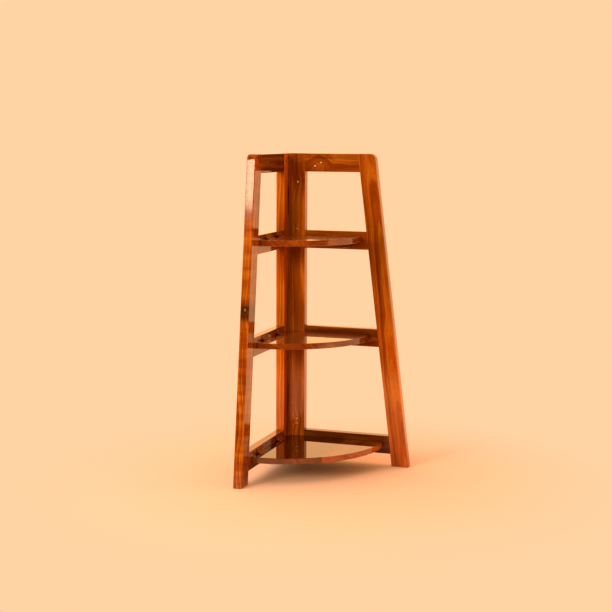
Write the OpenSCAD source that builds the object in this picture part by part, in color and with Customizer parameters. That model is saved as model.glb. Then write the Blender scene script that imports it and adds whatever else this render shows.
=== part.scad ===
// Folding corner shelf in hardwood: two ladder frames joined by butt hinges at the rear corner, and
// three quarter-round shelves that swing up against the left frame.
// Millimetres, +Z up. The right frame runs along +X and the left frame along -Y, and every shape is
// drawn from the inner corner where their inner faces meet, then moved so that the floor centre is 0.

/* [Overall] */
// Height of the frames from the floor
overall_h = 760; // [700:1:820]
// Thickness of the posts, legs and rails
stock_t = 21; // [18:0.5:26]
// Chamfer on the long edges of the frame pieces
arris = 1.2; // [0.5:0.1:2]

/* [Posts and legs] */
// Width of the left post, which laps past the end of the right frame
left_post_w = 46; // [42:1:54]
// Width of the right post
right_post_w = 42; // [38:1:50]
// Width of both legs, square to their slope
leg_w = 42; // [36:1:50]
// Distance from the inner corner to the inner edge of a leg at the floor
leg_reach = 271; // [266:1:310]
// Slope of the legs from upright, in degrees
leg_slope = 7; // [5:0.5:8]
// Radius of the rounded outer corner at the top of a leg
leg_top_r = 14; // [6:1:20]

/* [Rails] */
// Height of each rail
rail_h = 44; // [42:1:54]
// Top edge of the lower rails above the floor
lower_rail_top = 75; // [74:1:82]
// Top edge of the middle rails above the floor
middle_rail_top = 338; // [336:1:350]
// Top edge of the upper rails above the floor
upper_rail_top = 574; // [572:1:590]

/* [Rail tenons] */
// Thickness of the tenons
tenon_t = 8; // [6:0.5:10]
// Height of the tenons
tenon_h = 30; // [24:1:34]
// Length of the tenons beyond the shoulder
tenon_len = 18; // [10:1:22]
// Clearance around the tenons
tenon_fit = 0.1; // [0.05:0.05:0.3]

/* [Shelves] */
// Thickness of the shelves
shelf_t = 14; // [12:0.5:15]
// Top face of the lower shelf above the floor
lower_shelf_top = 60; // [59:0.5:61]
// Top face of the middle shelf above the floor
middle_shelf_top = 324; // [323:0.5:326]
// Top face of the upper shelf above the floor
upper_shelf_top = 562; // [560:0.5:562]
// Radius of the lower shelf from the inner corner
lower_shelf_r = 248; // [230:1:248]
// Radius of the middle shelf from the inner corner
middle_shelf_r = 213; // [205:1:218]
// Radius of the upper shelf from the inner corner
upper_shelf_r = 190; // [180:1:192]
// Clearance between the shelf edges and the frames
shelf_gap = 1; // [0.5:0.1:1.5]
// Radius of the rounded rear corner of a shelf
shelf_corner_r = 32; // [20:1:36]
// Chamfer on the round front edge of a shelf
shelf_arris = 1.5; // [0.5:0.5:3]
// Width of the lower shelf's outer board, from its tip to the glue line
lower_outer_w = 93; // [83:1:118]
// Width of the middle shelf's outer board, from its tip to the glue line
middle_outer_w = 63; // [48:1:83]
// Width of the upper shelf's outer board, from its tip to the glue line
upper_outer_w = 82; // [40:1:100]

/* [Shelf rests] */
// Length of the wooden rest under the right side of a shelf
rest_len = 80; // [60:1:90]
// Height of a rest
rest_h = 13; // [11:0.5:14]
// Depth of a rest out from the rail
rest_d = 12; // [10:0.5:16]
// Distance from the shelf tip to the near end of its rest
rest_inset = 25; // [15:1:35]
// Gap between a shelf and its rest
rest_gap = 0.2; // [0.1:0.1:0.4]
// Distance of a rest screw from the end of the rest
rest_screw_inset = 15; // [10:1:20]

/* [Corner hinges] */
// Gap between the left post and the end of the right frame
hinge_gap = 2.4; // [2.4:0.1:3]
// Thickness of a corner hinge leaf
corner_leaf_t = 1.1; // [0.9:0.05:1.15]
// Height of a corner hinge
corner_hinge_h = 66; // [54:1:75]
// Distance from the pin to the free edge of a corner hinge leaf
corner_leaf_w = 21; // [17:0.5:22]
// Radius of the corner hinge knuckles
corner_knuckle_r = 3; // [2.6:0.1:3.4]
// Radius of the corner hinge pins
corner_pin_r = 1.5; // [1.2:0.1:1.8]
// Distance of a corner hinge's screws from the free edge of its leaf
corner_screw_inset = 6; // [4:0.5:9]
// Distance between neighbouring screws of a corner hinge
corner_screw_pitch = 22; // [16:0.5:24]
// Centre of the lower corner hinge above the floor
lower_hinge_z = 150; // [110:1:230]
// Distance from the top of the frames down to the centre of the upper corner hinge
upper_hinge_drop = 115; // [100:1:130]

/* [Shelf hinges] */
// Length of a shelf hinge along the rail
shelf_hinge_len = 38; // [32:1:44]
// Thickness of a shelf hinge leaf
shelf_leaf_t = 1.1; // [0.8:0.1:1.2]
// Distance from the pin to the free edge of a shelf hinge leaf
shelf_leaf_w = 9; // [8.5:0.1:9.3]
// Distance between the two screws of a shelf hinge leaf
shelf_screw_pitch = 19; // [12:0.5:24]
// Radius of the shelf hinge knuckles
shelf_knuckle_r = 2.2; // [2:0.1:2.3]
// Radius of the shelf hinge pins
shelf_pin_r = 1.1; // [0.9:0.1:1.2]
// Distance from the shelf tip to the centre of its front hinge
front_hinge_inset = 52; // [45:1:60]
// Distance from the inner corner to the centre of a rear hinge
rear_hinge_reach = 64; // [58:1:70]

/* [Hinge and screw fits] */
// Radial clearance of the pins in their knuckles
pin_fit = 0.05; // [0.02:0.01:0.08]
// Gap between neighbouring knuckles
knuckle_gap = 0.3; // [0.2:0.1:0.5]
// Clearance between a knuckle and what it turns beside
turn_gap = 0.3; // [0.3:0.05:0.5]
// Thickness of the heads at both ends of a hinge pin
pin_head_t = 0.6; // [0.4:0.1:1.2]
// Radius of the screw heads
screw_head_r = 2.4; // [2.2:0.1:2.6]
// Radius of the screw shanks
screw_shank_r = 1.2; // [1:0.1:1.4]
// Length of the tapered tip of a screw
screw_tip_len = 2.4; // [1.5:0.1:4]
// Radius of the blunt point of a screw
screw_point_r = 0.3; // [0.2:0.05:0.5]
// Length of the hinge screws
hinge_screw_len = 12; // [10:1:13]
// Length of the rest screws
rest_screw_len = 25; // [23:1:28]
// Width of the slot in a screw head
screw_slot_w = 0.7; // [0.5:0.1:0.9]
// Depth of the slot in a screw head
screw_slot_depth = 0.6; // [0.4:0.1:0.8]
// Clearance between a screw and its hole
screw_fit = 0.1; // [0.05:0.05:0.15]

/* [Hidden] */
$fn = 64;

wood = [0.56, 0.25, 0.09];
wood_light = [0.68, 0.34, 0.13];
wood_dark = [0.42, 0.17, 0.07];
brass = [0.72, 0.55, 0.28];
steel = [0.66, 0.66, 0.64];

// A cut reaches this far past the face that it opens
over = 1;
// Blind holes and mortises end this far beyond what goes into them
end_gap = 0.5;

// The left post laps the end of the right frame, and both are flush at the back
lap = left_post_w - stock_t;
right_frame_x = hinge_gap;
right_post_end = right_frame_x + right_post_w;
leg_level_w = leg_w / cos(leg_slope);
leg_foot = leg_reach + leg_level_w;

// The corner hinges' knuckles stand behind the frames
corner_axis_x = hinge_gap / 2;
corner_axis_y = stock_t + corner_knuckle_r + turn_gap;
// The shelf hinges' axis lies in the angle of the rail and the shelf top
shelf_axis = shelf_knuckle_r + turn_gap;

// Centre of the floor rectangle that the whole shelf covers
centre_x = (leg_foot - stock_t) / 2;
centre_y = (corner_axis_y + corner_knuckle_r - leg_foot) / 2;

rail_tops = [overall_h, upper_rail_top, middle_rail_top, lower_rail_top];
TOP = 0;
UPPER = 1;
MIDDLE = 2;
LOWER = 3;
shelf_tops = [0, upper_shelf_top, middle_shelf_top, lower_shelf_top];
shelf_radii = [0, upper_shelf_r, middle_shelf_r, lower_shelf_r];
outer_widths = [0, upper_outer_w, middle_outer_w, lower_outer_w];
SHELVES = [UPPER, MIDDLE, LOWER];
upper_hinge_z = overall_h - upper_hinge_drop;
corner_hinge_heights = [upper_hinge_z, lower_hinge_z];

// Inner edge of a leg at height z, measured from the inner corner
function leg_inner(z) = leg_reach - z * tan(leg_slope);

// Distance of the two hinges of a shelf along the left rail
function hinge_places(level) = [shelf_radii[level] - front_hinge_inset, rear_hinge_reach];

// Moves a shape drawn from the inner corner to its place above the floor centre
module placed() {
    translate([-centre_x, -centre_y, 0])
        children();
}

// Turns a shape drawn for the right frame, along +X, into the left frame, along -Y
module as_left() {
    rotate([0, 0, -90])
        mirror([0, 1, 0])
            children();
}

// Bar of the stock's thickness from a to b along X and from 0 to h in Z, with chamfered long edges
module rail_bar(a, b, h) {
    translate([a, 0, 0])
        rotate([90, 0, 90])
            linear_extrude(b - a)
                chamfered_section(stock_t, h);
}

// Rectangle with its corners cut off by the arris
module chamfered_section(w, h) {
    polygon([[arris, 0], [w - arris, 0], [w, arris], [w, h - arris],
        [w - arris, h], [arris, h], [0, h - arris], [0, arris]]);
}

// Tenon or its mortise: from a to b along X, centred in a rail whose top edge is at rail_top
module tongue(a, b, rail_top, grow) {
    translate([a, stock_t / 2 - tenon_t / 2 - grow, rail_top - rail_h / 2 - tenon_h / 2 - grow])
        cube([b - a, tenon_t + 2 * grow, tenon_h + 2 * grow]);
}

// Far end of the tenon that enters the leg at this rail
function leg_tenon_end(rail_top) = leg_inner(rail_top) + tenon_len;

// Rail between a post that ends at post_end and the sloping leg, with a tenon at each end
module frame_rail(level, post_end) {
    rail_top = rail_tops[level];
    foot = rail_top - rail_h;
    intersection() {
        translate([0, 0, foot])
            rail_bar(post_end, leg_reach, rail_h);
        rotate([90, 0, 0])
            translate([0, 0, -stock_t - over])
                linear_extrude(stock_t + 2 * over)
                    polygon([[post_end, foot], [leg_inner(foot), foot],
                        [leg_inner(rail_top), rail_top], [post_end, rail_top]]);
    }
    tongue(post_end - tenon_len, leg_tenon_end(rail_top), rail_top, 0);
}

// Sloping leg of the right frame, cut level at the floor and the top, with its mortises
module frame_leg() {
    round_z = overall_h - leg_top_r;
    round_x = leg_inner(round_z) + leg_level_w - leg_top_r / cos(leg_slope);
    difference() {
        intersection() {
            translate([leg_reach, 0, 0])
                rotate([0, -leg_slope, 0])
                    translate([0, 0, -leg_w])
                        linear_extrude(overall_h / cos(leg_slope) + 2 * leg_w)
                            chamfered_section(leg_w, stock_t);
            translate([0, -over, 0])
                cube([leg_foot + over, stock_t + 2 * over, overall_h]);
        }
        // Rounded outer corner at the top
        difference() {
            translate([round_x, -over, round_z + leg_top_r * sin(leg_slope)])
                cube([leg_level_w, stock_t + 2 * over, leg_top_r + over]);
            translate([round_x, -2 * over, round_z])
                rotate([-90, 0, 0])
                    cylinder(h = stock_t + 4 * over, r = leg_top_r);
        }
        for (rail_top = rail_tops)
            tongue(0, leg_tenon_end(rail_top) + end_gap, rail_top, tenon_fit);
    }
}

// Upright post from a to b along X, with mortises in its far face for the rails
module frame_post(a, b) {
    difference() {
        translate([a, 0, 0])
            linear_extrude(overall_h)
                chamfered_section(b - a, stock_t);
        for (rail_top = rail_tops)
            tongue(b - tenon_len - end_gap, b + over, rail_top, tenon_fit);
    }
}

// A countersunk head slopes by 45 degrees
screw_head_h = screw_head_r - screw_shank_r;

// Countersunk wood screw along +Z from its head at 0
module screw(len) {
    difference() {
        union() {
            cylinder(h = screw_head_h, r1 = screw_head_r, r2 = screw_shank_r);
            cylinder(h = len - screw_tip_len, r = screw_shank_r);
            translate([0, 0, len - screw_tip_len])
                cylinder(h = screw_tip_len, r1 = screw_shank_r, r2 = screw_point_r);
        }
        translate([-screw_head_r, -screw_slot_w / 2, -over])
            cube([2 * screw_head_r, screw_slot_w, over + screw_slot_depth]);
    }
}

// Hole with a countersink for a screw along +Z from its head at 0
module screw_hole(len) {
    translate([0, 0, -over])
        cylinder(h = over, r = screw_head_r + screw_fit);
    cylinder(h = screw_head_h, r1 = screw_head_r + screw_fit, r2 = screw_shank_r + screw_fit);
    cylinder(h = len + end_gap, r = screw_shank_r + screw_fit);
}

// Places of the corner hinge screws: along the leaf, and above or below the hinge's centre
corner_screw_y = corner_axis_y - corner_leaf_w + corner_screw_inset;
corner_screw_zs = [-corner_screw_pitch, 0, corner_screw_pitch];

// Puts its children at each corner hinge screw of the left post, pointing into the wood
module at_left_corner_screws(heights = corner_hinge_heights) {
    for (z = heights, dz = corner_screw_zs)
        translate([corner_leaf_t, corner_screw_y, z + dz])
            rotate([0, -90, 0])
                children();
}

// Puts its children at each corner hinge screw of the right frame, pointing into the wood
module at_right_corner_screws(heights = corner_hinge_heights) {
    for (z = heights, dz = corner_screw_zs)
        translate([hinge_gap - corner_leaf_t, corner_screw_y, z + dz])
            rotate([0, 90, 0])
                children();
}

// Leaf of a hinge whose pin runs along Z at the origin. The leaf reaches along +X to leaf_w, with its
// faces at off and off + t in Y, and carries knuckles in the slots of its parity among count slots.
module hinge_leaf(h, leaf_w, t, off, knuckle_r, pin_r, count, parity) {
    slot_h = h / count;
    clear_x = knuckle_r + turn_gap;
    difference() {
        union() {
            translate([clear_x, off, 0])
                cube([leaf_w - clear_x, t, h]);
            for (i = [parity : 2 : count - 1])
                let (
                    foot = slot_h * i + (i == 0 ? 0 : knuckle_gap / 2),
                    head = slot_h * (i + 1) - (i == count - 1 ? 0 : knuckle_gap / 2)
                )
                    translate([0, 0, foot]) {
                        cylinder(h = head - foot, r = knuckle_r);
                        translate([0, off, 0])
                            cube([clear_x + over, t, head - foot]);
                    }
        }
        translate([0, 0, -over])
            cylinder(h = h + 2 * over, r = pin_r + pin_fit);
    }
}

// Pin of a hinge along Z, with a flat head below and above the knuckles
module hinge_pin(h, knuckle_r, pin_r) {
    cylinder(h = h, r = pin_r);
    for (z = [-pin_head_t, h])
        translate([0, 0, z])
            cylinder(h = pin_head_t, r = knuckle_r - turn_gap);
}

// Parts of the corner hinge at height z, in the frame of the inner corner
module corner_hinge_frame(z) {
    translate([corner_axis_x, corner_axis_y, z - corner_hinge_h / 2])
        children();
}

corner_knuckles = 5;
leaf_air = hinge_gap / 2 - corner_leaf_t;

module corner_left_leaf(z) {
    color(brass)
        difference() {
            corner_hinge_frame(z)
                rotate([0, 0, -90])
                    mirror([0, 1, 0])
                        hinge_leaf(corner_hinge_h, corner_leaf_w, corner_leaf_t, leaf_air,
                            corner_knuckle_r, corner_pin_r, corner_knuckles, 0);
            at_left_corner_screws([z])
                screw_hole(hinge_screw_len);
        }
}

module corner_right_leaf(z) {
    color(brass)
        difference() {
            corner_hinge_frame(z)
                rotate([0, 0, -90])
                    hinge_leaf(corner_hinge_h, corner_leaf_w, corner_leaf_t, leaf_air,
                        corner_knuckle_r, corner_pin_r, corner_knuckles, 1);
            at_right_corner_screws([z])
                screw_hole(hinge_screw_len);
        }
}

module corner_pin(z) {
    color(steel)
        corner_hinge_frame(z)
            hinge_pin(corner_hinge_h, corner_knuckle_r, corner_pin_r);
}

// Frame of a shelf hinge: its pin along Z here lies along the left rail, +X here is up the rail, and
// +Y here points away from the rail
module shelf_hinge_frame(level, reach) {
    translate([shelf_axis, -reach - shelf_hinge_len / 2, shelf_tops[level] + shelf_axis])
        rotate([-90, -90, 0])
            children();
}

shelf_knuckles = 3;
// Screws of a shelf hinge leaf: distance from the pin, and along the leaf from its middle
shelf_screw_x = (shelf_knuckle_r + turn_gap + shelf_leaf_w) / 2;
shelf_screw_zs = [-shelf_screw_pitch / 2, shelf_screw_pitch / 2];

// Leaf's outer face lies against the wood, this far from the pin
leaf_off = shelf_axis - shelf_leaf_t;

module shelf_rail_leaf(level, reach) {
    color(brass)
        difference() {
            shelf_hinge_frame(level, reach)
                mirror([0, 1, 0])
                    hinge_leaf(shelf_hinge_len, shelf_leaf_w, shelf_leaf_t, leaf_off,
                        shelf_knuckle_r, shelf_pin_r, shelf_knuckles, 0);
            at_rail_screws(level, [reach])
                screw_hole(hinge_screw_len);
        }
}

module shelf_shelf_leaf(level, reach) {
    color(brass)
        difference() {
            shelf_hinge_frame(level, reach)
                rotate([0, 0, 90])
                    hinge_leaf(shelf_hinge_len, shelf_leaf_w, shelf_leaf_t, leaf_off,
                        shelf_knuckle_r, shelf_pin_r, shelf_knuckles, 1);
            at_shelf_screws(level, [reach])
                screw_hole(hinge_screw_len);
        }
}

module shelf_pin(level, reach) {
    color(steel)
        shelf_hinge_frame(level, reach)
            hinge_pin(shelf_hinge_len, shelf_knuckle_r, shelf_pin_r);
}

// Puts its children at each hinge screw of the left rail, pointing into the rail
module at_rail_screws(level, reaches) {
    for (reach = reaches, dy = shelf_screw_zs)
        translate([shelf_leaf_t, -reach + dy, shelf_tops[level] + shelf_axis + shelf_screw_x])
            rotate([0, -90, 0])
                children();
}

// Puts its children at each hinge screw of the shelf, pointing down into it
module at_shelf_screws(level, reaches) {
    for (reach = reaches, dy = shelf_screw_zs)
        translate([shelf_axis + shelf_screw_x, -reach + dy, shelf_tops[level] + shelf_leaf_t])
            rotate([180, 0, 0])
                children();
}

// Outline of a shelf seen from above, with straight edges along both frames and a round rear corner
module shelf_outline(level) {
    reach = shelf_radii[level] + over;
    round_at = shelf_gap + shelf_corner_r;
    translate([round_at, -reach])
        square([reach - round_at, reach - shelf_gap]);
    translate([shelf_gap, -reach])
        square([reach - shelf_gap, reach - round_at]);
    translate([round_at, -round_at])
        circle(r = shelf_corner_r);
}

// Glue line of a shelf's two boards, from the inner corner
function seam(level) = shelf_radii[level] - outer_widths[level];

// Quarter-round shelf, drawn between x = a and x = b so that each board is one strip of it
module shelf_board(level, a, b) {
    r = shelf_radii[level];
    difference() {
        translate([0, 0, shelf_tops[level] - shelf_t])
            intersection() {
                rotate_extrude($fn = 180)
                    polygon([[0, 0], [r - shelf_arris, 0], [r, shelf_arris],
                        [r, shelf_t - shelf_arris], [r - shelf_arris, shelf_t], [0, shelf_t]]);
                translate([0, 0, -over])
                    linear_extrude(shelf_t + 2 * over)
                        shelf_outline(level);
                translate([a, -r - over, -over])
                    cube([b - a, r + 2 * over, shelf_t + 2 * over]);
            }
        at_shelf_screws(level, hinge_places(level))
            screw_hole(hinge_screw_len);
    }
}

module inner_board(level) {
    color(wood)
        placed()
            shelf_board(level, 0, seam(level));
}

module outer_board(level) {
    color(wood_light)
        placed()
            shelf_board(level, seam(level), shelf_radii[level] + over);
}

// Left end of a shelf rest along the right rail
function rest_start(level) = shelf_radii[level] - rest_inset - rest_len;

function rest_top(level) = shelf_tops[level] - shelf_t - rest_gap;

// Puts its children at the two screws of a shelf rest, pointing into the rail
module at_rest_screws(level) {
    for (x = [rest_start(level) + rest_screw_inset, rest_start(level) + rest_len - rest_screw_inset])
        translate([x, -rest_d, rest_top(level) - rest_h / 2])
            rotate([-90, 0, 0])
                children();
}

module shelf_rest(level) {
    color(wood_dark)
        placed()
            difference() {
                translate([rest_start(level), -rest_d, rest_top(level) - rest_h])
                    rotate([90, 0, 90])
                        linear_extrude(rest_len)
                            polygon([[0, arris], [arris, 0], [rest_d, 0], [rest_d, rest_h],
                                [arris, rest_h], [0, rest_h - arris]]);
                at_rest_screws(level)
                    screw_hole(rest_screw_len);
            }
}

module right_rail(level) {
    color(wood)
        placed()
            difference() {
                frame_rail(level, right_post_end);
                if (level != TOP)
                    at_rest_screws(level)
                        screw_hole(rest_screw_len);
            }
}

module left_rail(level) {
    color(wood)
        placed()
            difference() {
                as_left()
                    frame_rail(level, lap);
                if (level != TOP)
                    at_rail_screws(level, hinge_places(level))
                        screw_hole(hinge_screw_len);
            }
}

module left_post() {
    color(wood_dark)
        placed()
            difference() {
                as_left()
                    frame_post(lap - left_post_w, lap);
                at_left_corner_screws()
                    screw_hole(hinge_screw_len);
            }
}

module right_post() {
    color(wood_dark)
        placed()
            difference() {
                frame_post(right_frame_x, right_post_end);
                at_right_corner_screws()
                    screw_hole(hinge_screw_len);
            }
}

module left_leg() {
    color(wood_light)
        placed()
            as_left()
                frame_leg();
}

module right_leg() {
    color(wood_light)
        placed()
            frame_leg();
}

module left_top_rail() { left_rail(TOP); }
module left_upper_rail() { left_rail(UPPER); }
module left_middle_rail() { left_rail(MIDDLE); }
module left_lower_rail() { left_rail(LOWER); }
module right_top_rail() { right_rail(TOP); }
module right_upper_rail() { right_rail(UPPER); }
module right_middle_rail() { right_rail(MIDDLE); }
module right_lower_rail() { right_rail(LOWER); }

module upper_shelf_inner_board() { inner_board(UPPER); }
module upper_shelf_outer_board() { outer_board(UPPER); }
module middle_shelf_inner_board() { inner_board(MIDDLE); }
module middle_shelf_outer_board() { outer_board(MIDDLE); }
module lower_shelf_inner_board() { inner_board(LOWER); }
module lower_shelf_outer_board() { outer_board(LOWER); }

module upper_shelf_rest() { shelf_rest(UPPER); }
module middle_shelf_rest() { shelf_rest(MIDDLE); }
module lower_shelf_rest() { shelf_rest(LOWER); }

module upper_corner_hinge_left_leaf() { placed() corner_left_leaf(upper_hinge_z); }
module upper_corner_hinge_right_leaf() { placed() corner_right_leaf(upper_hinge_z); }
module upper_corner_hinge_pin() { placed() corner_pin(upper_hinge_z); }
module lower_corner_hinge_left_leaf() { placed() corner_left_leaf(lower_hinge_z); }
module lower_corner_hinge_right_leaf() { placed() corner_right_leaf(lower_hinge_z); }
module lower_corner_hinge_pin() { placed() corner_pin(lower_hinge_z); }

module upper_front_hinge_rail_leaf() { placed() shelf_rail_leaf(UPPER, hinge_places(UPPER)[0]); }
module upper_front_hinge_shelf_leaf() { placed() shelf_shelf_leaf(UPPER, hinge_places(UPPER)[0]); }
module upper_front_hinge_pin() { placed() shelf_pin(UPPER, hinge_places(UPPER)[0]); }
module upper_rear_hinge_rail_leaf() { placed() shelf_rail_leaf(UPPER, hinge_places(UPPER)[1]); }
module upper_rear_hinge_shelf_leaf() { placed() shelf_shelf_leaf(UPPER, hinge_places(UPPER)[1]); }
module upper_rear_hinge_pin() { placed() shelf_pin(UPPER, hinge_places(UPPER)[1]); }
module middle_front_hinge_rail_leaf() { placed() shelf_rail_leaf(MIDDLE, hinge_places(MIDDLE)[0]); }
module middle_front_hinge_shelf_leaf() { placed() shelf_shelf_leaf(MIDDLE, hinge_places(MIDDLE)[0]); }
module middle_front_hinge_pin() { placed() shelf_pin(MIDDLE, hinge_places(MIDDLE)[0]); }
module middle_rear_hinge_rail_leaf() { placed() shelf_rail_leaf(MIDDLE, hinge_places(MIDDLE)[1]); }
module middle_rear_hinge_shelf_leaf() { placed() shelf_shelf_leaf(MIDDLE, hinge_places(MIDDLE)[1]); }
module middle_rear_hinge_pin() { placed() shelf_pin(MIDDLE, hinge_places(MIDDLE)[1]); }
module lower_front_hinge_rail_leaf() { placed() shelf_rail_leaf(LOWER, hinge_places(LOWER)[0]); }
module lower_front_hinge_shelf_leaf() { placed() shelf_shelf_leaf(LOWER, hinge_places(LOWER)[0]); }
module lower_front_hinge_pin() { placed() shelf_pin(LOWER, hinge_places(LOWER)[0]); }
module lower_rear_hinge_rail_leaf() { placed() shelf_rail_leaf(LOWER, hinge_places(LOWER)[1]); }
module lower_rear_hinge_shelf_leaf() { placed() shelf_shelf_leaf(LOWER, hinge_places(LOWER)[1]); }
module lower_rear_hinge_pin() { placed() shelf_pin(LOWER, hinge_places(LOWER)[1]); }

module corner_hinge_left_screws() {
    color(steel)
        placed()
            at_left_corner_screws()
                screw(hinge_screw_len);
}

module corner_hinge_right_screws() {
    color(steel)
        placed()
            at_right_corner_screws()
                screw(hinge_screw_len);
}

module shelf_hinge_rail_screws() {
    color(steel)
        placed()
            for (level = SHELVES)
                at_rail_screws(level, hinge_places(level))
                    screw(hinge_screw_len);
}

module shelf_screws(level) {
    color(steel)
        placed()
            at_shelf_screws(level, hinge_places(level))
                screw(hinge_screw_len);
}

module upper_shelf_hinge_screws() { shelf_screws(UPPER); }
module middle_shelf_hinge_screws() { shelf_screws(MIDDLE); }
module lower_shelf_hinge_screws() { shelf_screws(LOWER); }

module shelf_rest_screws() {
    color(steel)
        placed()
            for (level = SHELVES)
                at_rest_screws(level)
                    screw(rest_screw_len);
}

left_post();
left_leg();
left_top_rail();
left_upper_rail();
left_middle_rail();
left_lower_rail();
right_post();
right_leg();
right_top_rail();
right_upper_rail();
right_middle_rail();
right_lower_rail();
upper_shelf_inner_board();
upper_shelf_outer_board();
middle_shelf_inner_board();
middle_shelf_outer_board();
lower_shelf_inner_board();
lower_shelf_outer_board();
upper_shelf_rest();
middle_shelf_rest();
lower_shelf_rest();
upper_corner_hinge_left_leaf();
upper_corner_hinge_right_leaf();
upper_corner_hinge_pin();
lower_corner_hinge_left_leaf();
lower_corner_hinge_right_leaf();
lower_corner_hinge_pin();
upper_front_hinge_rail_leaf();
upper_front_hinge_shelf_leaf();
upper_front_hinge_pin();
upper_rear_hinge_rail_leaf();
upper_rear_hinge_shelf_leaf();
upper_rear_hinge_pin();
middle_front_hinge_rail_leaf();
middle_front_hinge_shelf_leaf();
middle_front_hinge_pin();
middle_rear_hinge_rail_leaf();
middle_rear_hinge_shelf_leaf();
middle_rear_hinge_pin();
lower_front_hinge_rail_leaf();
lower_front_hinge_shelf_leaf();
lower_front_hinge_pin();
lower_rear_hinge_rail_leaf();
lower_rear_hinge_shelf_leaf();
lower_rear_hinge_pin();
corner_hinge_left_screws();
corner_hinge_right_screws();
shelf_hinge_rail_screws();
upper_shelf_hinge_screws();
middle_shelf_hinge_screws();
lower_shelf_hinge_screws();
shelf_rest_screws();
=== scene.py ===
"""Dresses a folding corner shelf in lacquered hardwood and stands it in a plain studio.

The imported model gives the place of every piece. The frame sticks, the shelf boards and the rests
are rebuilt here with rounded edges and a grain of their own, and the hinges, pins and screws keep
their solids and take a metal finish. Metres throughout, +Z up.
"""

import enum
import logging
import math
from dataclasses import dataclass, replace

import bmesh
import bpy
from mathutils import Matrix, Vector


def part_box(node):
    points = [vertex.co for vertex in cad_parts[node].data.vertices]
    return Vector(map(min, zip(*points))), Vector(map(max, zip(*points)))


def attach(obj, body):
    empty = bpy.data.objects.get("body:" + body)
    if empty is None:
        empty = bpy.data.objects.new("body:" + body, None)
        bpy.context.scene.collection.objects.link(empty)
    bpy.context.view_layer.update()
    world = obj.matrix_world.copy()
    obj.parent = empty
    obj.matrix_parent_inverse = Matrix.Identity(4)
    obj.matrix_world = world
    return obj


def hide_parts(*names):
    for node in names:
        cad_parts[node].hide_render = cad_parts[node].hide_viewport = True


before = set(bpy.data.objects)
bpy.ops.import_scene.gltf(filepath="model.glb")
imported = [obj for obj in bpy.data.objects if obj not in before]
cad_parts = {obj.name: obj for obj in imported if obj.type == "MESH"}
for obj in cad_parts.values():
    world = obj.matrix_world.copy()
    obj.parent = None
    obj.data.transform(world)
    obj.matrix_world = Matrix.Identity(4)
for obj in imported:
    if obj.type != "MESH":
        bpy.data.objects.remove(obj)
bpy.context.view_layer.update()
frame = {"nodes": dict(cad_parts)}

LOG = logging.getLogger("corner_shelf")
UP = Vector((0.0, 0.0, 1.0))
INWARD = Vector((1.0, -1.0, 0.0)).normalized()
TOUCH = 1e-6  # Points nearer than this, in metres, meet.
NEAR = 1e-5  # Points nearer than this lie on one surface.
ALIGNED = 0.99  # Directions whose cosine is above this are taken as one.
SHARP = math.radians(40)  # Edges that turn further than this are sharp.
MID = 0.5  # Middle of every noise.
Triple = tuple[float, float, float]
Pair = tuple[float, float]
Colour = Triple


def place_object(name: str, data: bpy.types.ID) -> bpy.types.Object:
    """Makes an object and puts it into the scene."""
    made = bpy.data.objects.new(name, data)
    bpy.context.scene.collection.objects.link(made)
    return made


class Side(enum.Enum):
    """The two ladder frames, by the direction in which each runs out from the rear corner."""

    LEFT = (0.0, -1.0, 0.0)
    RIGHT = (1.0, 0.0, 0.0)

    @property
    def word(self) -> str:
        """The side's word in the names of its pieces."""
        return self.name.lower()


class Level(enum.Enum):
    """The levels of the rails, three of which carry a shelf."""

    TOP = "top"
    UPPER = "upper"
    MIDDLE = "middle"
    LOWER = "lower"


class Signal:
    """What one output of a shader node gives, for use in Python arithmetic."""

    def __init__(self, tree: "Tree", socket: bpy.types.NodeSocket) -> None:
        """Wraps a node's output socket."""
        self.tree = tree
        self.socket = socket

    def output(self, name: str) -> "Signal":
        """Another output of the same node."""
        return Signal(self.tree, self.socket.node.outputs[name])

    def _math(self, operation: str, *values: "Signal | float") -> "Signal":
        """Adds a Math node on the values."""
        return self.tree.add("ShaderNodeMath", {"operation": operation}, dict(enumerate(values)))

    def __add__(self, other: "Signal | float") -> "Signal":
        """Sum of the two."""
        return self._math("ADD", self, other)

    __radd__ = __add__

    def __sub__(self, other: "Signal | float") -> "Signal":
        """This less the other."""
        return self._math("SUBTRACT", self, other)

    def __rsub__(self, other: float) -> "Signal":
        """The other less this."""
        return self._math("SUBTRACT", other, self)

    def __mul__(self, other: "Signal | float") -> "Signal":
        """Product of the two."""
        return self._math("MULTIPLY", self, other)

    __rmul__ = __mul__

    def __truediv__(self, other: "Signal | float") -> "Signal":
        """This divided by the other."""
        return self._math("DIVIDE", self, other)

    def __pow__(self, other: float) -> "Signal":
        """This raised to a power."""
        return self._math("POWER", self, other)

    def __abs__(self) -> "Signal":
        """Size of this without its sign."""
        return self._math("ABSOLUTE", self)

    def most(self, other: "Signal | float") -> "Signal":
        """The larger of the two."""
        return self._math("MAXIMUM", self, other)

    def fade(self, start: float, end: float) -> "Signal":
        """Rises smoothly from 0 at start to 1 at end, or falls where start is past end."""
        limits = {0: self, 1: min(start, end), 2: max(start, end), 3: 0.0, 4: 1.0}
        if start > end:
            limits.update({3: 1.0, 4: 0.0})
        return self.tree.add("ShaderNodeMapRange", {"interpolation_type": "SMOOTHSTEP"}, limits)


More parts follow.
